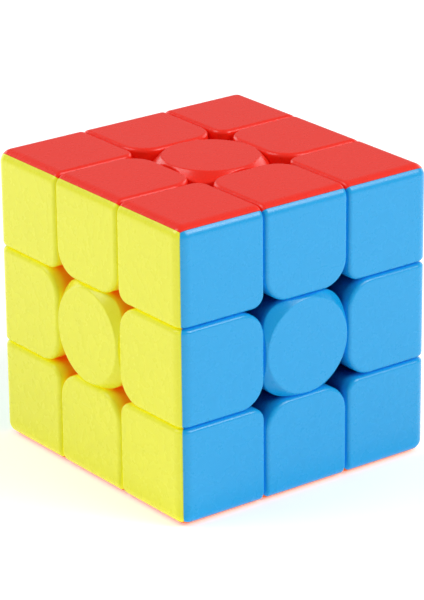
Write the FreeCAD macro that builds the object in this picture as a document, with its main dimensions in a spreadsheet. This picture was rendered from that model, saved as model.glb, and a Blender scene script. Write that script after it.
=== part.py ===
"""A 3 x 3 x 3 twisty puzzle cube with no stickers: every shell is moulded in its face's colour.

Six centres turn on screws in a fixed core, pressed down by springs. Each edge piece is two
coloured half shells and each corner piece three third shells, with a curved foot that is held
under the centres and the edges. Masters are drawn about the cube's centre; the 58 sub-parts
are rotated copies of them, raised so that the cube stands on the plane z = 0. The round faces
of the centres stand a little above their neighbours, so the cube rests on the lower one.
"""

import FreeCAD, Part
import os
import Sketcher

# Millimetres. The up face is +Z, the front face -Y and the left face -X.
DIMENSIONS = {
    "cube_size": 56.0,
    "seam_gap": 0.30,  # between neighbouring pieces, on the planes that divide the layers
    "split_gap": 0.06,  # between the coloured shells of one piece
    "wall": 1.4,
    "outer_round": 2.3,  # along the twelve edges of the whole cube
    "seam_round": 0.8,  # where a coloured face meets the sides of its piece
    "corner_plan_round": 2.5,  # corner piece, towards the middle of a face
    "edge_plan_round": 5.2,  # edge piece, beside the centre
    "centre_plan_round": 5.6,
    "foot_radius": 20.0,  # outside of the spherical shell that the feet make up
    "foot_thickness": 3.2,
    "foot_reach": 5.0,  # half width of an edge foot, where the corner feet begin
    "foot_gap": 0.24,
    "foot_clearance": 0.25,  # from the feet to the undersides of the outer blocks
    "neck_half_width": 4.0,
    "neck_inset": 0.3,
    "rib": 2.2,  # square bar inside each outer edge, which holds the pegs
    "peg_radius": 0.8,
    "peg_length": 1.2,
    "peg_root": 1.0,  # length of a peg inside its own shell
    "peg_clearance": 0.08,
    "socket_mouth": 0.5,  # how far a socket's bore runs out past its opening
    "foot_peg_offset": 2.3,
    "rib_peg_offset": 4.6,
    "corner_peg_height": 19.0,
    "cap_seat": 22.0,  # height of the joint between a centre's cap and its base
    "cap_rise": 0.2,  # how far a centre's face stands above its neighbours'
    "cap_face_radius": 8.9,  # the round outer face of a centre, to where its bevel starts
    "cap_bevel_depth": 3.0,
    "cap_bevel_round": 0.4,
    "cap_edge_round": 0.35,
    "cap_hollow_radius": 9.0,
    "spigot_radius": 6.95,
    "spigot_height": 2.0,
    "snap_clearance": 0.1,
    "ring_wall": 1.0,
    "stem_radius": 4.5,
    "stem_start": 9.4,
    "pocket_radius": 3.6,
    "pocket_floor": 10.8,
    "shank_radius": 1.45,
    "shank_start": 3.2,
    "shank_clearance": 0.25,
    "thread_clearance": 0.05,
    "head_radius": 2.9,
    "head_height": 1.8,
    "head_dome_radius": 4.2,
    "recess_width": 0.7,
    "recess_length": 3.4,
    "recess_depth": 1.1,
    "washer_radius": 3.3,
    "washer_thickness": 0.4,
    "washer_clearance": 0.1,
    "spring_radius": 2.6,  # to the middle of the wire
    "spring_turns": 5.5,
    "spring_length": 7.5,
    "wire_radius": 0.3,
    "core_radius": 6.6,
    "arm_radius": 4.2,
    "arm_length": 9.0,
}

FACE_NORMALS = {
    "up": (0, 0, 1),
    "down": (0, 0, -1),
    "front": (0, -1, 0),
    "back": (0, 1, 0),
    "left": (-1, 0, 0),
    "right": (1, 0, 0),
}
FACE_COLOURS = {
    "up": "red",
    "down": "orange",
    "front": "blue",
    "back": "green",
    "left": "yellow",
    "right": "white",
}

TOLERANCE = 1e-4
EDGE_SAMPLES = 5  # points along an edge that pick it for a fillet
SKETCH_START = 10.0  # side of a new sketch's rectangle, before the sheet sets it
ORIGIN, START, END = -1, 1, 2  # Sketcher's numbers for its origin and for a line's two ends
UNIT_SQUARE = ((0, 0), (1, 0), (1, 1), (0, 1))
SPRING_SPAN = 0.5  # turns in each piece of the spring's path

doc = FreeCAD.newDocument("PuzzleCube")
sheet = doc.addObject("Spreadsheet::Sheet", "Dimensions")
for row, (word, number) in enumerate(DIMENSIONS.items(), start=1):
    sheet.set(f"A{row}", word)
    sheet.set(f"B{row}", str(number))
    sheet.setAlias(f"B{row}", word)
doc.recompute()


def cell(word):
    """The sheet's cell as it is written inside an expression."""
    return f"Dimensions.{word}"


# Expressions shared by several masters, all measured from the cube's centre.
HALF = f"({cell('cube_size')} / 2)"
CAP_TOP = f"({HALF} + {cell('cap_rise')})"
PIECE_LOW = f"({cell('cube_size')} / 6 + {cell('seam_gap')} / 2)"
PIECE_SIDE = f"({cell('cube_size')} / 6 - {cell('seam_gap')} / 2)"
FOOT_LOW = f"({cell('foot_reach')} + {cell('foot_gap')} / 2)"
FOOT_SIDE = f"({cell('foot_reach')} - {cell('foot_gap')} / 2)"
FOOT_INNER = f"({cell('foot_radius')} - {cell('foot_thickness')})"
UNDERSIDE = f"({cell('foot_radius')} + {cell('foot_clearance')})"
NECK_LOW = f"({PIECE_LOW} + {cell('neck_inset')})"
RIB_MIDDLE = f"({HALF} - ({cell('wall')} + {cell('rib')}) / 2 - {cell('neck_inset')})"
FOOT_PEG = f"(({cell('foot_radius')} - {cell('foot_thickness')} / 2) / sqrt(2))"


def value(expression):
    """The number that an expression on the sheet stands for now."""
    return float(sheet.evalExpression(expression))


def bind(item, **expressions):
    """Binds properties of a document object, with __ standing for a dot in their paths."""
    for path, expression in expressions.items():
        item.setExpression(path.replace("__", "."), expression)
    return item


def place(item, x="0", y="0", z="0"):
    bind(item, Placement__Base__x=x, Placement__Base__y=y, Placement__Base__z=z)
    return item


def turn(item, axis, degrees):
    item.Placement.Rotation = FreeCAD.Rotation(FreeCAD.Vector(*axis), degrees)
    return item


def box(name, low, high):
    item = doc.addObject("Part::Box", name)
    sides = [f"{top} - {bottom}" for bottom, top in zip(low, high)]
    bind(item, Length=sides[0], Width=sides[1], Height=sides[2])
    return place(item, *low)


def sphere(name, radius):
    return bind(doc.addObject("Part::Sphere", name), Radius=radius)


def cylinder(name, radius, low, high):
    """An upright cylinder on the Z axis."""
    item = doc.addObject("Part::Cylinder", name)
    bind(item, Radius=radius, Height=f"{high} - {low}")
    return place(item, z=low)


def cut(name, base, tool):
    item = doc.addObject("Part::Cut", name)
    item.Base = base
    item.Tool = tool
    return item


def fuse(name, *shapes):
    item = doc.addObject("Part::MultiFuse", name)
    item.Shapes = list(shapes)
    item.Refine = True
    return item


def common(name, *shapes):
    item = doc.addObject("Part::MultiCommon", name)
    item.Shapes = list(shapes)
    return item


def origin_plane(body, role):
    return next(f for f in body.Origin.OriginFeatures if f.Role == role)


def draw_outline(sketch, points):
    """Adds a closed outline of straight lines, each joined to the next."""
    ends = [FreeCAD.Vector(x, y, 0) for x, y in points]
    for start, end in zip(ends, ends[1:] + ends[:1]):
        sketch.addGeometry(Part.LineSegment(start, end))
    for side in range(len(ends)):
        following = (side + 1) % len(ends)
        sketch.addConstraint(Sketcher.Constraint("Coincident", side, END, following, START))


def padded_block(name, low, high):
    """A body with one rectangular pad between two corners, given as expressions."""
    body = doc.addObject("PartDesign::Body", name)
    sketch = body.newObject("Sketcher::SketchObject", f"{name}_plan")
    sketch.AttachmentSupport = (origin_plane(body, "XY_Plane"), [""])
    sketch.MapMode = "FlatFace"
    for axis, expression in zip("xyz", low):
        sketch.setExpression(f"AttachmentOffset.Base.{axis}", expression)
    draw_outline(sketch, [(x * SKETCH_START, y * SKETCH_START) for x, y in UNIT_SQUARE])
    for side in range(len(UNIT_SQUARE)):
        direction = "Horizontal" if side % 2 == 0 else "Vertical"
        sketch.addConstraint(Sketcher.Constraint(direction, side))
    sketch.addConstraint(Sketcher.Constraint("Coincident", 0, START, ORIGIN, START))
    for side, kind in enumerate(("DistanceX", "DistanceY")):
        length = Sketcher.Constraint(kind, side, START, side, END, SKETCH_START)
        number = sketch.addConstraint(length)
        sketch.renameConstraint(number, f"side_{side}")
        sketch.setExpression(f"Constraints.side_{side}", f"{high[side]} - {low[side]}")
    pad = body.newObject("PartDesign::Pad", f"{name}_pad")
    pad.Profile = sketch
    bind(pad, Length=f"{high[2]} - {low[2]}")
    doc.recompute()
    return body


def round_edges(body, name, radius, wanted):
    """Fillets the edges of a body's tip whose sampled points all pass the test."""
    tip = body.Tip
    chosen = []
    for number, edge in enumerate(tip.Shape.Edges, start=1):
        if not edge.Degenerated and all(wanted(p) for p in edge.discretize(EDGE_SAMPLES)):
            chosen.append(f"Edge{number}")
    fillet = body.newObject("PartDesign::Fillet", name)
    fillet.Base = (tip, chosen)
    bind(fillet, Radius=radius)
    doc.recompute()
    return fillet


def near(a, b):
    return abs(a - b) < TOLERANCE


def diagonal_splitter(name, axis, degrees, across):
    """A block that removes what lies below the plane through the X or Y axis at 45 degrees."""
    size = cell("cube_size")
    item = doc.addObject("Part::Box", name)
    bind(item, Length=size, Width=size, Height=size)
    turn(item, axis, degrees)
    drop = f"({cell('split_gap')} / 2 - {size}) / sqrt(2)"
    if across == "y":
        return place(item, x=f"-{HALF}", y=f"-{drop}", z=drop)
    return place(item, x=f"-{drop}", y=f"-{HALF}", z=drop)


def diagonal_pin(name, radius, inside, outside, point, across):
    """A pin square to a 45 degree splitting plane, from inside the upper shell to outside it."""
    item = doc.addObject("Part::Cylinder", name)
    bind(item, Radius=radius, Height=f"{inside} + {outside}")
    x, y, z = point
    back = f"({inside}) / sqrt(2)"
    if across == "y":
        turn(item, (1, 0, 0), -135)
        return place(item, x=x, y=f"{y} - {back}", z=f"{z} + {back}")
    turn(item, (0, 1, 0), 135)
    return place(item, x=f"{x} - {back}", y=y, z=f"{z} + {back}")


def peg(name, point, across):
    root = cell("peg_root")
    return diagonal_pin(name, cell("peg_radius"), root, cell("peg_length"), point, across)


def socket(name, point, across):
    radius = f"{cell('peg_radius')} + {cell('peg_clearance')}"
    depth = f"{cell('peg_length')} + 2 * {cell('peg_clearance')}"
    return diagonal_pin(name, radius, depth, cell("socket_mouth"), point, across)


def foot_parts():
    """The spherical shell that feet are cut from, and the thicker one for their necks."""
    inner = sphere("foot_inside", FOOT_INNER)
    shell = cut("foot_shell", sphere("foot_outside", cell("foot_radius")), inner)
    neck_top = sphere("neck_outside", f"{UNDERSIDE} + {cell('wall')} / 2")
    return shell, cut("neck_shell", neck_top, inner)


def outer_block(name, low, high, plan_edge, plan_round, outer_edge, seam_edge):
    """The visible block of an edge or corner piece with all its rounded edges."""
    body = padded_block(name, low, high)
    round_edges(body, f"{name}_plan_round", plan_round, plan_edge)
    round_edges(body, f"{name}_outer_round", cell("outer_round"), outer_edge)
    round_edges(body, f"{name}_seam_round", cell("seam_round"), seam_edge)
    return body


def make_edge_shell(foot_shell, neck_shell):
    """The +Z half of the edge piece that lies between the +Z and +Y faces."""
    low = value(PIECE_LOW)
    high = value(HALF)
    side = value(PIECE_SIDE)
    wall = DIMENSIONS["wall"]
    bend = high - DIMENSIONS["outer_round"]
    plan = low + DIMENSIONS["edge_plan_round"]

    def on_plan_edge(p):
        return near(abs(p.x), side) and (near(p.y, low) or near(p.z, low))

    def on_outer_edge(p):
        return near(p.y, high) and near(p.z, high)

    def on_seam(p):
        on_side = near(abs(p.x), side) or near(p.y, low) or near(p.z, low)
        on_face = near(p.z, high) or near(p.y, high) or (p.y > bend and p.z > bend)
        return on_face and (on_side or p.y < plan or p.z < plan)

    block = outer_block(
        "edge_block",
        (f"-{PIECE_SIDE}", PIECE_LOW, PIECE_LOW),
        (PIECE_SIDE, HALF, HALF),
        on_plan_edge,
        cell("edge_plan_round"),
        on_outer_edge,
        on_seam,
    )
    inner_low = f"({PIECE_LOW} + {cell('wall')})"
    inner_side = f"({PIECE_SIDE} - {cell('wall')})"
    inner_high = f"({HALF} - {cell('wall')})"
    cavity = padded_block(
        "edge_cavity", (f"-{inner_side}", inner_low, inner_low), (inner_side, inner_high, inner_high)
    )
    round_edges(
        cavity,
        "edge_cavity_round",
        f"{cell('edge_plan_round')} - {cell('wall')}",
        lambda p: near(abs(p.x), side - wall) and (near(p.y, low + wall) or near(p.z, low + wall)),
    )
    rib_low = f"({inner_high} - {cell('rib')})"
    rib = box("edge_rib", (f"-{HALF}", rib_low, rib_low), (HALF, HALF, HALF))
    floor = sphere("edge_floor", f"{UNDERSIDE} + {cell('wall')}")
    hollow = cut("edge_hollow", cut("edge_hollow_ribbed", cavity, rib), floor)
    block_cut = cut("edge_block_cut", block, sphere("edge_underside", UNDERSIDE))
    shell = cut("edge_block_hollowed", block_cut, hollow)
    foot_box = box("edge_foot_box", (f"-{FOOT_SIDE}", FOOT_LOW, FOOT_LOW), (FOOT_SIDE, HALF, HALF))
    foot = common("edge_foot", foot_box, foot_shell)
    width = cell("neck_half_width")
    neck_box = box("edge_neck_box", (f"-{width}", NECK_LOW, NECK_LOW), (width, HALF, HALF))
    neck = common("edge_neck", neck_box, neck_shell)
    whole = fuse("edge_whole", shell, neck, foot)
    splitter = diagonal_splitter("edge_splitter", (1, 0, 0), 45, "y")
    half_shell = cut("edge_half", whole, splitter)
    foot_x = cell("foot_peg_offset")
    rib_x = cell("rib_peg_offset")
    pegs = (
        peg("edge_foot_peg", (foot_x, FOOT_PEG, FOOT_PEG), "y"),
        peg("edge_rib_peg", (rib_x, RIB_MIDDLE, RIB_MIDDLE), "y"),
    )
    sockets = fuse(
        "edge_sockets",
        socket("edge_foot_socket", (f"-{foot_x}", FOOT_PEG, FOOT_PEG), "y"),
        socket("edge_rib_socket", (f"-{rib_x}", RIB_MIDDLE, RIB_MIDDLE), "y"),
    )
    return cut("edge_shell", fuse("edge_half_pegged", half_shell, *pegs), sockets)


def make_corner_shell(foot_shell, neck_shell):
    """The +Z third of the corner piece that lies between the +X, +Y and +Z faces."""
    low = value(PIECE_LOW)
    high = value(HALF)
    wall = DIMENSIONS["wall"]
    bend = high - DIMENSIONS["outer_round"]
    plan = low + DIMENSIONS["corner_plan_round"]

    def count(p, level):
        return sum(near(c, level) for c in p)

    def on_seam(p):
        beyond_bend = sum(c > bend for c in p) >= 2
        on_face = count(p, high) >= 1 or beyond_bend
        in_plan = sum(c < plan for c in p) >= 2
        return on_face and (count(p, low) >= 1 or in_plan)

    block = outer_block(
        "corner_block",
        (PIECE_LOW,) * 3,
        (HALF,) * 3,
        lambda p: count(p, low) >= 2,
        cell("corner_plan_round"),
        lambda p: count(p, high) >= 2,
        on_seam,
    )
    inner_low = f"({PIECE_LOW} + {cell('wall')})"
    inner_high = f"({HALF} - {cell('wall')})"
    cavity = padded_block("corner_cavity", (inner_low,) * 3, (inner_high,) * 3)
    round_edges(
        cavity,
        "corner_cavity_round",
        f"{cell('corner_plan_round')} - {cell('wall')}",
        lambda p: count(p, low + wall) >= 2,
    )
    rib_low = f"({inner_high} - {cell('rib')})"
    ribs = (
        box("corner_rib_x", ("0", rib_low, rib_low), (HALF, HALF, HALF)),
        box("corner_rib_y", (rib_low, "0", rib_low), (HALF, HALF, HALF)),
        box("corner_rib_z", (rib_low, rib_low, "0"), (HALF, HALF, HALF)),
    )
    floor = sphere("corner_floor", f"{UNDERSIDE} + {cell('wall')}")
    hollow = cut("corner_hollow", cavity, fuse("corner_solids", floor, *ribs))
    block_cut = cut("corner_block_cut", block, sphere("corner_underside", UNDERSIDE))
    shell = cut("corner_block_hollowed", block_cut, hollow)
    foot = common("corner_foot", box("corner_foot_box", (FOOT_LOW,) * 3, (HALF,) * 3), foot_shell)
    neck = common("corner_neck", box("corner_neck_box", (NECK_LOW,) * 3, (HALF,) * 3), neck_shell)
    whole = fuse("corner_whole", shell, neck, foot)
    splitters = fuse(
        "corner_splitters",
        diagonal_splitter("corner_splitter_y", (1, 0, 0), 45, "y"),
        diagonal_splitter("corner_splitter_x", (0, 1, 0), -45, "x"),
    )
    third = cut("corner_third", whole, splitters)
    height = cell("corner_peg_height")
    third_peg = peg("corner_peg", (RIB_MIDDLE, height, RIB_MIDDLE), "x")
    third_socket = socket("corner_socket", (height, RIB_MIDDLE, RIB_MIDDLE), "y")
    return cut("corner_shell", fuse("corner_third_pegged", third, third_peg), third_socket)


def bevel_tool():
    """What turning would take off a centre's cap: all that lies outside its round bevelled face."""
    top = CAP_TOP
    face = cell("cap_face_radius")
    depth = cell("cap_bevel_depth")
    body = doc.addObject("PartDesign::Body", "cap_bevel_tool")
    sketch = body.newObject("Sketcher::SketchObject", "cap_bevel_profile")
    sketch.AttachmentSupport = (origin_plane(body, "XZ_Plane"), [""])
    sketch.MapMode = "FlatFace"
    corners = (
        (face, top),
        (f"{face} + {depth}", f"{top} - {depth}"),
        (f"{face} + 2 * {depth}", f"{top} - {depth}"),
        (f"{face} + 2 * {depth}", f"{top} + {depth}"),
        (face, f"{top} + {depth}"),
    )
    draw_outline(sketch, [(value(x), value(z)) for x, z in corners])
    for side, (x, z) in enumerate(corners):
        for kind, expression in (("DistanceX", x), ("DistanceY", z)):
            distance = Sketcher.Constraint(kind, ORIGIN, START, side, START, value(expression))
            number = sketch.addConstraint(distance)
            sketch.renameConstraint(number, f"{kind}_{side}")
            sketch.setExpression(f"Constraints.{kind}_{side}", expression)
    revolution = body.newObject("PartDesign::Revolution", "cap_bevel_turned")
    revolution.Profile = sketch
    revolution.ReferenceAxis = (sketch, ["V_Axis"])
    revolution.Angle = 360
    doc.recompute()
    return body


def centre_block(name, inset, low, high):
    """A centre's square block between two heights, its upright edges rounded, inset all round."""
    half_side = f"({PIECE_SIDE} - {inset})"
    block = padded_block(name, (f"-{half_side}",) * 2 + (low,), (half_side,) * 2 + (high,))
    reach = value(half_side)
    round_edges(
        block,
        f"{name}_plan_round",
        f"{cell('centre_plan_round')} - {inset}",
        lambda p: near(abs(p.x), reach) and near(abs(p.y), reach),
    )
    return block


def make_centre_cap():
    """The coloured cap of the +Z centre: a rounded square whose outer face is a circle."""
    side = value(PIECE_SIDE)
    top = value(CAP_TOP)
    face = DIMENSIONS["cap_face_radius"]
    seat = cell("cap_seat")
    block = centre_block("cap_block", "0", seat, CAP_TOP)
    bevel = block.newObject("PartDesign::Boolean", "cap_bevel")
    bevel.Type = "Cut"
    bevel.addObjects([bevel_tool()])
    doc.recompute()
    block.Tip = bevel
    round_edges(
        block,
        "cap_bevel_round",
        cell("cap_bevel_round"),
        lambda p: near(p.z, top) and near((p.x**2 + p.y**2) ** 0.5, face),
    )
    above_seat = DIMENSIONS["cap_seat"] + TOLERANCE
    below_bevel = top - (side - face) / 2
    straight = side - DIMENSIONS["centre_plan_round"]

    def on_bevel_outline(p):
        return above_seat < p.z < below_bevel and max(abs(p.x), abs(p.y)) > straight

    round_edges(block, "cap_edge_round", cell("cap_edge_round"), on_bevel_outline)
    ceiling = f"({CAP_TOP} - {cell('wall')})"
    cavity = centre_block("cap_cavity", cell("wall"), seat, ceiling)
    limit = cylinder("cap_hollow_limit", cell("cap_hollow_radius"), seat, HALF)
    hollow = common("cap_hollow", cavity, limit)
    bore = f"({cell('spigot_radius')} + {cell('snap_clearance')})"
    ring = cut(
        "cap_ring",
        cylinder("cap_ring_outside", f"{bore} + {cell('ring_wall')}", seat, ceiling),
        cylinder("cap_ring_bore", bore, seat, ceiling),
    )
    return cut("cap", block, cut("cap_hollow_ringed", hollow, ring))


def make_centre_base():
    """The lower half of the +Z centre: a dished floor over the feet, and the stem on its screw."""
    seat = cell("cap_seat")
    block = centre_block("base_block", "0", FOOT_INNER, seat)
    cavity = centre_block("base_cavity", cell("wall"), FOOT_INNER, seat)
    floor_radius = f"({UNDERSIDE} + {cell('wall')})"
    hollow = cut("base_hollow", cavity, sphere("base_floor", floor_radius))
    dish = cut("base_dish", block, sphere("base_underside", UNDERSIDE))
    spigot_low = f"({UNDERSIDE} + {cell('foot_clearance')})"
    spigot_high = f"({seat} + {cell('spigot_height')})"
    spigot_bore = f"{cell('spigot_radius')} - {cell('ring_wall')}"
    spigot = cut(
        "base_spigot",
        cylinder("base_spigot_outside", cell("spigot_radius"), spigot_low, spigot_high),
        cylinder("base_spigot_bore", spigot_bore, spigot_low, spigot_high),
    )
    stem = cylinder("base_stem", cell("stem_radius"), cell("stem_start"), floor_radius)
    whole = fuse("base_whole", cut("base_dish_hollow", dish, hollow), spigot, stem)
    bores = fuse(
        "base_bores",
        cylinder("base_pocket", cell("pocket_radius"), cell("pocket_floor"), HALF),
        cylinder("base_hole", f"{cell('shank_radius')} + {cell('shank_clearance')}", "0", HALF),
    )
    return cut("base", whole, bores)


def make_core():
    """The fixed core: a ball with six arms, each bored for its centre's screw."""
    radius = f"({cell('shank_radius')} + {cell('thread_clearance')})"
    arms = []
    bores = []
    for face, normal in FACE_NORMALS.items():
        arm = cylinder(f"arm_{face}", cell("arm_radius"), "0", cell("arm_length"))
        bore = cylinder(f"bore_{face}", radius, "0", cell("arm_length"))
        rotation = FreeCAD.Rotation(FreeCAD.Vector(0, 0, 1), FreeCAD.Vector(*normal))
        arm.Placement.Rotation = rotation
        bore.Placement.Rotation = rotation
        x, y, z = (f"{n} * {cell('shank_start')}" for n in normal)
        place(bore, x, y, z)
        arms.append(arm)
        bores.append(bore)
    solid = fuse("core_solid", sphere("core_ball", cell("core_radius")), *arms)
    return cut("core_bored", solid, fuse("core_bores", *bores))


# Heights of the stack on a screw, from the pocket floor up to the screw head.
LOWER_WASHER = f"({cell('pocket_floor')} + {cell('washer_clearance')})"
SPRING_LOW = f"({LOWER_WASHER} + {cell('washer_thickness')} + {cell('washer_clearance')})"
SPRING_HIGH = f"({SPRING_LOW} + {cell('spring_length')})"
UPPER_WASHER = f"({SPRING_HIGH} + {cell('washer_clearance')})"
HEAD_LOW = f"({UPPER_WASHER} + {cell('washer_thickness')})"


def make_screw():
    """The pan-head screw of the +Z centre, with a cross recess."""
    head_high = f"({HEAD_LOW} + {cell('head_height')})"
    shank = cylinder("screw_shank", cell("shank_radius"), cell("shank_start"), head_high)
    dome = sphere("screw_dome", cell("head_dome_radius"))
    place(dome, z=f"{head_high} - {cell('head_dome_radius')}")
    blank = cylinder("screw_head_blank", cell("head_radius"), HEAD_LOW, head_high)
    head = common("screw_head", blank, dome)
    slots = []
    narrow = f"({cell('recess_width')} / 2)"
    long = f"({cell('recess_length')} / 2)"
    floor = f"({head_high} - {cell('recess_depth')})"
    for name, x, y in (("screw_slot_x", long, narrow), ("screw_slot_y", narrow, long)):
        slots.append(box(name, (f"-{x}", f"-{y}", floor), (x, y, HALF)))
    return cut("screw", fuse("screw_blank", shank, head), fuse("screw_recess", *slots))


def make_washer(name, height):
    top = f"({height} + {cell('washer_thickness')})"
    disc = cylinder(f"{name}_disc", cell("washer_radius"), height, top)
    hole = cylinder(f"{name}_hole", f"{cell('shank_radius')} + {cell('shank_clearance')}", "0", HALF)
    return cut(name, disc, hole)


def make_spring():
    """The compression spring between the two washers, as one swept wire."""
    helix = doc.addObject("Part::Helix", "spring_path")
    rise = f"({cell('spring_length')} - 2 * {cell('wire_radius')})"
    bind(helix, Radius=cell("spring_radius"), Height=rise, Pitch=f"{rise} / {cell('spring_turns')}")
    helix.SegmentLength = SPRING_SPAN
    start = f"{SPRING_LOW} + {cell('wire_radius')}"
    place(helix, z=start)
    wire = doc.addObject("Part::Circle", "spring_wire")
    bind(wire, Radius=cell("wire_radius"))
    turn(wire, (1, 0, 0), 90)
    place(wire, x=cell("spring_radius"), z=start)
    doc.recompute()
    spans = [f"Edge{number}" for number in range(1, len(helix.Shape.Edges) + 1)]
    sweep = doc.addObject("Part::Sweep", "spring")
    sweep.Sections = [wire]
    sweep.Spine = (helix, spans)
    sweep.Solid = True
    sweep.Frenet = True
    return sweep


def vector(face):
    return FreeCAD.Vector(*FACE_NORMALS[face])


def copy(name, master, rotation):
    """A rotated copy of a master, raised so that the cube's lowest face is at z = 0."""
    link = doc.addObject("App::Link", name)
    link.Label = name
    link.LinkedObject = master
    link.Placement = FreeCAD.Placement(FreeCAD.Vector(0, 0, value(CAP_TOP)), rotation)
    return link


def group(name, *masters_and_rotations):
    """Several solids as one sub-part."""
    links = [
        copy(f"{name}_{number}", master, rotation)
        for number, (master, rotation) in enumerate(masters_and_rotations, start=1)
    ]
    compound = doc.addObject("Part::Compound", name)
    compound.Label = name
    compound.Links = links
    return compound


def towards(face):
    return FreeCAD.Rotation(FreeCAD.Vector(0, 0, 1), vector(face))


def edge_rotation(face, neighbour):
    """Takes the master's +Z face to face, and its +Y face to neighbour."""
    z, y = vector(face), vector(neighbour)
    return FreeCAD.Rotation(y.cross(z), y, z, "ZYX")


def corner_rotation(face, others):
    """Takes the master's +Z face to face, and its +X and +Y faces to the others."""
    z = vector(face)
    x, y = (vector(other) for other in others)
    if x.cross(y).dot(z) < 0:
        x, y = y, x
    return FreeCAD.Rotation(x, y, z, "ZYX")


def opposite(a, b):
    return near(vector(a).dot(vector(b)), -1)


faces = list(FACE_NORMALS)
edges = [(a, b) for i, a in enumerate(faces) for b in faces[i + 1 :] if not opposite(a, b)]
corners = [(a, b, c) for a in faces[:2] for b in faces[2:4] for c in faces[4:]]

foot_shell, neck_shell = foot_parts()
edge_shell = make_edge_shell(foot_shell, neck_shell)
corner_shell = make_corner_shell(foot_shell, neck_shell)
cap = make_centre_cap()
base = make_centre_base()
screw = make_screw()
spring = make_spring()
washers = [make_washer("lower_washer", LOWER_WASHER), make_washer("upper_washer", UPPER_WASHER)]

subparts = [
    copy("core", make_core(), FreeCAD.Rotation()),
    group("centre_screws", *((screw, towards(face)) for face in faces)),
    group("centre_springs", *((spring, towards(face)) for face in faces)),
    group("spring_washers", *((washer, towards(face)) for face in faces for washer in washers)),
]
for face in faces:
    rotation = towards(face)
    subparts.append(group(f"centre_{face}_{FACE_COLOURS[face]}", (base, rotation), (cap, rotation)))
for pair in edges:
    for own, other in (pair, pair[::-1]):
        name = f"edge_{'_'.join(pair)}_{FACE_COLOURS[own]}"
        subparts.append(copy(name, edge_shell, edge_rotation(own, other)))
for trio in corners:
    for own in trio:
        others = [face for face in trio if face != own]
        name = f"corner_{'_'.join(trio)}_{FACE_COLOURS[own]}"
        subparts.append(copy(name, corner_shell, corner_rotation(own, others)))

doc.recompute()
for item in doc.Objects:
    if "Invalid" in item.State or "Error" in item.State:
        raise RuntimeError(f"{item.Name} did not compute: {item.State}")

os.makedirs("parts", exist_ok=True)
for subpart in subparts:
    shape = subpart.Shape
    if shape.isNull() or not shape.isValid():
        raise RuntimeError(f"{subpart.Label} has no valid shape")
    shape.exportStep(f"parts/{subpart.Label}.step")
print(len(subparts), "sub-parts")
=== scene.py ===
"""A stickerless 3 x 3 x 3 twisty puzzle cube on a pale floor, under soft studio light.

The CAD nodes are the shells, feet, core and metal parts at their real size. This script gives
each of them its moulded plastic or steel, and sets up the floor, the lights and the camera.
Lengths are in metres; +Z is up, the blue face looks along -Y and the yellow one along -X.
"""

import math

import bpy
from mathutils import Matrix, Vector


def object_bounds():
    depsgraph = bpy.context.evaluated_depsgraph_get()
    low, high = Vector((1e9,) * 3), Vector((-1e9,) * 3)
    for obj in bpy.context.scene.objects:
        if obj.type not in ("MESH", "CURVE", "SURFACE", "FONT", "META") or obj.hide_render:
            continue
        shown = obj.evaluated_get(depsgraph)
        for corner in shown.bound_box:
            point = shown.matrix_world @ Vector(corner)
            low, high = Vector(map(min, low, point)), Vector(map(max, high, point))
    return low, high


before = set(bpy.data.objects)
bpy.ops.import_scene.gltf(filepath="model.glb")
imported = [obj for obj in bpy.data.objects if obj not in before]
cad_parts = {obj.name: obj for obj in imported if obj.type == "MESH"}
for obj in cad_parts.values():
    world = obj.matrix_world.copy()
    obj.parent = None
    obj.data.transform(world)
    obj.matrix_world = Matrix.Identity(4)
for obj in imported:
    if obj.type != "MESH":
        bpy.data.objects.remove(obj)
cad_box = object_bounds()

MM = 0.001
CENTRE = (cad_box[0] + cad_box[1]) / 2
HALF_SIZE = 28 * MM  # to the flat faces; the round centres stand 0.2 mm above them

# Moulded plastics, as linear colours: the base colour at the surface, the deeper base colour in
# the holes between the pieces (painted shade, tinted as by light bounced between the shells), the
# painted glow in the seams and the painted glow in the holes.
PLASTICS = {
    "red": ((0.88, 0.023, 0.009), (0.95, 0.006, 0.003), (0.0, 0.0, 0.0), (0.038, 0.0, 0.0)),
    "orange": ((0.84, 0.18, 0.010), (0.90, 0.060, 0.003), (0.05, 0.01, 0.0), (0.04, 0.0, 0.0)),
    "blue": ((0.006, 0.34, 0.705), (0.008, 0.06, 0.36), (0.006, 0.08, 0.26), (0.0, 0.0, 0.0)),
    "green": ((0.012, 0.47, 0.09), (0.003, 0.19, 0.020), (0.002, 0.15, 0.02), (0.0, 0.0, 0.0)),
    "yellow": ((0.82, 0.82, 0.034), (0.97, 0.28, 0.002), (0.27, 0.25, 0.0), (0.118, 0.030, 0.0)),
    "white": ((0.77, 0.78, 0.77), (0.70, 0.69, 0.66), (0.08, 0.08, 0.075), (0.03, 0.03, 0.025)),
}
SHADE_REACH = 7 * MM  # how far away a neighbour still hides a surface
PAINTED_LIGHT_FROM, PAINTED_LIGHT_TO = 0.45, 0.10  # openness where the painted shade and glow begin, and where they are full
SEAM_DEPTH, HOLE_DEPTH = 0.9 * MM, 2.6 * MM  # below the faces: still a seam, and a hole

CORE_GREY = (0.045, 0.045, 0.048)
STEELS = {  # node: linear base colour, roughness, size of its patches in metres
    "centre_screws": ((0.50, 0.50, 0.52), 0.30, 0.4 * MM),
    "centre_springs": ((0.45, 0.45, 0.47), 0.25, 0.3 * MM),
    "spring_washers": ((0.60, 0.60, 0.60), 0.35, 0.5 * MM),
}
FLOOR_HALF_WIDTH = 6.0
FLOOR_GLOW = 0.30
WORLD_STRENGTH = 0.34

LIGHT_DISTANCE = 1.2
LIGHTS = {  # name: azimuth and elevation in degrees, diameter in metres, power in watts
    "front": (30, 42, 0.8, 6.2),
    "left": (-125, 44, 0.8, 6.2),
    "right": (100, 14, 0.8, 2.2),
    "back": (185, 12, 0.8, 2.6),
    "key": (32, 36, 0.4, 2.6),
}

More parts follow.
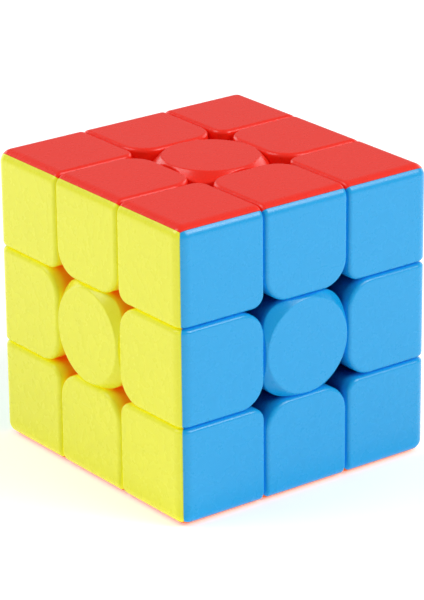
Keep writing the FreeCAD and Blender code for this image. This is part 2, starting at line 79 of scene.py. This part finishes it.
CAMERA_AZIMUTH = -36.97  # degrees, as for the lights
CAMERA_ELEVATION = 21.2
CAMERA_ROLL = math.radians(-0.58)
CAMERA_DISTANCE = 0.598
CAMERA_OFFSET = Vector((-0.01 * MM, 0.04 * MM, 0.0))  # to the right and up in the picture
CAMERA_LENS = 195.24  # millimetres, for a sensor 36 mm along the picture's long side


def direction(azimuth, elevation):
    """From the cube's centre outwards; azimuth 0 is in front of the blue face, 90 to the right."""
    a, e = math.radians(azimuth), math.radians(elevation)
    return Vector((math.sin(a) * math.cos(e), -math.cos(a) * math.cos(e), math.sin(e)))


def node(tree, kind, **values):
    """Adds a shader node and sets its properties, and its sockets by their names."""
    item = tree.nodes.new(kind)
    for key, setting in values.items():
        if key in item.inputs:
            item.inputs[key].default_value = setting
        else:
            setattr(item, key, setting)
    return item


def new_material(name):
    """A material with an empty tree but for its output and shader."""
    material = bpy.data.materials.new(name)
    material.use_nodes = True
    tree = material.node_tree
    tree.nodes.clear()
    output = tree.nodes.new("ShaderNodeOutputMaterial")
    shader = tree.nodes.new("ShaderNodeBsdfPrincipled")
    tree.links.new(shader.outputs["BSDF"], output.inputs["Surface"])
    return material, tree, shader


def noise(tree, coordinates, size, detail=3.0):
    """Noise whose features are about size metres across."""
    item = node(tree, "ShaderNodeTexNoise", Scale=1.0 / size, Detail=detail)
    tree.links.new(coordinates, item.inputs["Vector"])
    return item.outputs["Fac"]


def patches(tree, coordinates, size, low=0.0, high=1.0):
    """Soft patches about size metres across, between low and high."""
    return ramp(tree, noise(tree, coordinates, size), 0.3, 0.7, low, high)


def ramp(tree, source, start, end, low, high):
    """Maps start..end of a value to low..high."""
    limits = {"From Min": start, "From Max": end, "To Min": low, "To Max": high}
    item = node(tree, "ShaderNodeMapRange", **limits)
    tree.links.new(source, item.inputs["Value"])
    return item.outputs["Result"]


def math_node(tree, operation, first, second):
    """Combines two values; the second is a socket or a number."""
    item = node(tree, "ShaderNodeMath", operation=operation)
    tree.links.new(first, item.inputs[0])
    if isinstance(second, bpy.types.NodeSocket):
        tree.links.new(second, item.inputs[1])
    else:
        item.inputs[1].default_value = second
    return item.outputs["Value"]


def mix_colours(tree, factor, first, second):
    """Mixes two colours; each is a socket or three linear numbers."""
    item = node(tree, "ShaderNodeMix", data_type="RGBA")
    tree.links.new(factor, item.inputs["Factor"])
    # The node's colour sockets are its inputs 6 and 7 and its output 2.
    for colour, slot in ((first, 6), (second, 7)):
        if isinstance(colour, bpy.types.NodeSocket):
            tree.links.new(colour, item.inputs[slot])
        else:
            item.inputs[slot].default_value = (*colour, 1.0)
    return item.outputs[2]


def depth_below_faces(tree, coordinates):
    """How far a point lies inside the nearest outer face of the cube, in metres."""
    moved = node(tree, "ShaderNodeVectorMath", operation="SUBTRACT")
    tree.links.new(coordinates, moved.inputs[0])
    moved.inputs[1].default_value = CENTRE
    folded = node(tree, "ShaderNodeVectorMath", operation="ABSOLUTE")
    tree.links.new(moved.outputs["Vector"], folded.inputs[0])
    split = tree.nodes.new("ShaderNodeSeparateXYZ")
    tree.links.new(folded.outputs["Vector"], split.inputs["Vector"])
    furthest = math_node(tree, "MAXIMUM", split.outputs["X"], split.outputs["Y"])
    furthest = math_node(tree, "MAXIMUM", furthest, split.outputs["Z"])
    return ramp(tree, furthest, 0.0, HALF_SIZE, HALF_SIZE, 0.0)


def add_grain(tree, shader, coordinates, size, strength, height):
    """Fine bumps; size and height are in metres."""
    bump = node(tree, "ShaderNodeBump", Strength=strength, Distance=height)
    tree.links.new(noise(tree, coordinates, size, detail=2.0), bump.inputs["Height"])
    tree.links.new(bump.outputs["Normal"], shader.inputs["Normal"])


def moulded_plastic(name, surface, painted_shade_colour, painted_seam_glow, painted_hole_glow):
    """Satin moulded plastic, faintly cloudy. A deeper colour in the holes is painted shade, and a
    small glow there and in the seams is painted light that stands in for light that comes through
    the shells; the sheen is cut back there as painted shade."""
    material, tree, shader = new_material(name)
    coordinates = tree.nodes.new("ShaderNodeTexCoord").outputs["Object"]
    shade = node(tree, "ShaderNodeAmbientOcclusion", samples=4, Distance=SHADE_REACH)
    openness = shade.outputs["AO"]
    # Mask for painted shade and painted light: it rises where neighbours hide the surface from the
    # light.
    painted_light_mask = ramp(tree, openness, PAINTED_LIGHT_FROM, PAINTED_LIGHT_TO, 0.0, 1.0)
    depth = depth_below_faces(tree, coordinates)
    inside = ramp(tree, depth, SEAM_DEPTH, HOLE_DEPTH, 0.0, 1.0)
    darker, lighter = [0.992 * c for c in surface], [min(1.008 * c, 1.0) for c in surface]
    tint = mix_colours(tree, patches(tree, coordinates, 7 * MM), darker, lighter)
    # Painted shade: where a surface is both hidden and deep, its base colour goes to the deeper,
    # tinted colour.
    colour = mix_colours(tree, math_node(tree, "MULTIPLY", painted_light_mask, inside), tint, painted_shade_colour)
    tree.links.new(colour, shader.inputs["Base Color"])
    # Painted light: the seams and holes glow, as strongly as neighbours hide them.
    painted_glow = mix_colours(tree, inside, painted_seam_glow, painted_hole_glow)
    tree.links.new(painted_glow, shader.inputs["Emission Color"])
    tree.links.new(painted_light_mask, shader.inputs["Emission Strength"])
    # Painted shade on the reflection: the specular level drops where neighbours hide the surface.
    painted_shade_sheen = ramp(tree, openness, 0.95, 0.55, 0.5, 0.15)
    tree.links.new(painted_shade_sheen, shader.inputs["Specular IOR Level"])
    roughness = patches(tree, coordinates, 2.5 * MM, 0.25, 0.30)
    tree.links.new(roughness, shader.inputs["Roughness"])
    add_grain(tree, shader, coordinates, 1.2 * MM, 0.03, 0.01 * MM)
    shader.inputs["IOR"].default_value = 1.5
    return material


def plain_nylon(name, colour):
    """Matte moulded nylon."""
    material, tree, shader = new_material(name)
    coordinates = tree.nodes.new("ShaderNodeTexCoord").outputs["Object"]
    clouds = patches(tree, coordinates, 3 * MM)
    tint = mix_colours(tree, clouds, [0.9 * c for c in colour], [1.1 * c for c in colour])
    tree.links.new(tint, shader.inputs["Base Color"])
    tree.links.new(ramp(tree, clouds, 0.0, 1.0, 0.48, 0.58), shader.inputs["Roughness"])
    add_grain(tree, shader, coordinates, 0.2 * MM, 0.15, 0.02 * MM)
    return material


def steel(name, colour, roughness, size):
    """Steel with faint patches about size metres across."""
    material, tree, shader = new_material(name)
    coordinates = tree.nodes.new("ShaderNodeTexCoord").outputs["Object"]
    blotches = patches(tree, coordinates, size)
    tint = mix_colours(tree, blotches, [0.92 * c for c in colour], [1.05 * c for c in colour])
    tree.links.new(tint, shader.inputs["Base Color"])
    uneven = ramp(tree, blotches, 0.0, 1.0, 0.85 * roughness, 1.15 * roughness)
    tree.links.new(uneven, shader.inputs["Roughness"])
    add_grain(tree, shader, coordinates, 0.2 * size, 0.1, 0.01 * MM)
    shader.inputs["Metallic"].default_value = 1.0
    return material


def assign_materials():
    """Gives each node its material; the shells' nodes end in the name of their colour."""
    plastics = {}
    for name, colours in PLASTICS.items():
        plastics[name] = moulded_plastic(f"{name}_plastic", *colours)
    inner = {"core": plain_nylon("core_plastic", CORE_GREY)}
    for name, values in STEELS.items():
        inner[name] = steel(f"{name}_steel", *values)
    for name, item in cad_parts.items():
        item.data.materials.clear()
        item.data.materials.append(inner.get(name) or plastics[name.split("_")[-1]])


def make_floor():
    """A sheet of white paper under the cube."""
    size = FLOOR_HALF_WIDTH
    mesh = bpy.data.meshes.new("floor")
    corners = [(-size, -size, 0), (size, -size, 0), (size, size, 0), (-size, size, 0)]
    mesh.from_pydata(corners, [], [(0, 1, 2, 3)])
    floor = bpy.data.objects.new("floor", mesh)
    bpy.context.scene.collection.objects.link(floor)
    material, tree, shader = new_material("floor_paper")
    coordinates = tree.nodes.new("ShaderNodeTexCoord").outputs["Object"]
    fibres = patches(tree, coordinates, 30 * MM)
    paper = mix_colours(tree, fibres, (0.93, 0.93, 0.93), (0.95, 0.95, 0.95))
    tree.links.new(paper, shader.inputs["Base Color"])
    shader.inputs["Roughness"].default_value = 0.9
    shader.inputs["Emission Color"].default_value = (1, 1, 1, 1)
    shader.inputs["Emission Strength"].default_value = FLOOR_GLOW
    mesh.materials.append(material)


def area_light(name, azimuth, elevation, size, power):
    """A soft disc of light that faces the cube."""
    data = bpy.data.lights.new(name, "AREA")
    data.shape = "DISK"
    data.size = size
    data.energy = power
    light = bpy.data.objects.new(name, data)
    bpy.context.scene.collection.objects.link(light)
    away = direction(azimuth, elevation)
    light.location = CENTRE + away * LIGHT_DISTANCE
    light.rotation_mode = "QUATERNION"
    light.rotation_quaternion = away.to_track_quat("Z", "Y")


def make_world():
    """Even white light from all around."""
    world = bpy.data.worlds.new("studio")
    world.use_nodes = True
    background = world.node_tree.nodes["Background"]
    background.inputs["Color"].default_value = (1, 1, 1, 1)
    background.inputs["Strength"].default_value = WORLD_STRENGTH
    bpy.context.scene.world = world


def make_camera():
    """A long lens that sees the red face above the yellow and blue ones, as in the photo."""
    back = direction(CAMERA_AZIMUTH, CAMERA_ELEVATION)
    level = direction(CAMERA_AZIMUTH + 90, 0)
    upright = back.cross(level)
    right = math.cos(CAMERA_ROLL) * level + math.sin(CAMERA_ROLL) * upright
    up = back.cross(right)
    axes = Matrix((right, up, back)).transposed()
    data = bpy.data.cameras.new("camera")
    data.lens = CAMERA_LENS
    data.clip_start = 0.01
    data.clip_end = 50
    camera = bpy.data.objects.new("camera", data)
    bpy.context.scene.collection.objects.link(camera)
    place = CENTRE + axes @ (CAMERA_OFFSET + Vector((0, 0, CAMERA_DISTANCE)))
    camera.matrix_world = Matrix.Translation(place) @ axes.to_4x4()
    bpy.context.scene.camera = camera


assign_materials()
make_floor()
make_world()
for light_name, light_values in LIGHTS.items():
    area_light(light_name, *light_values)
make_camera()
bpy.context.scene.view_settings.view_transform = "Standard"
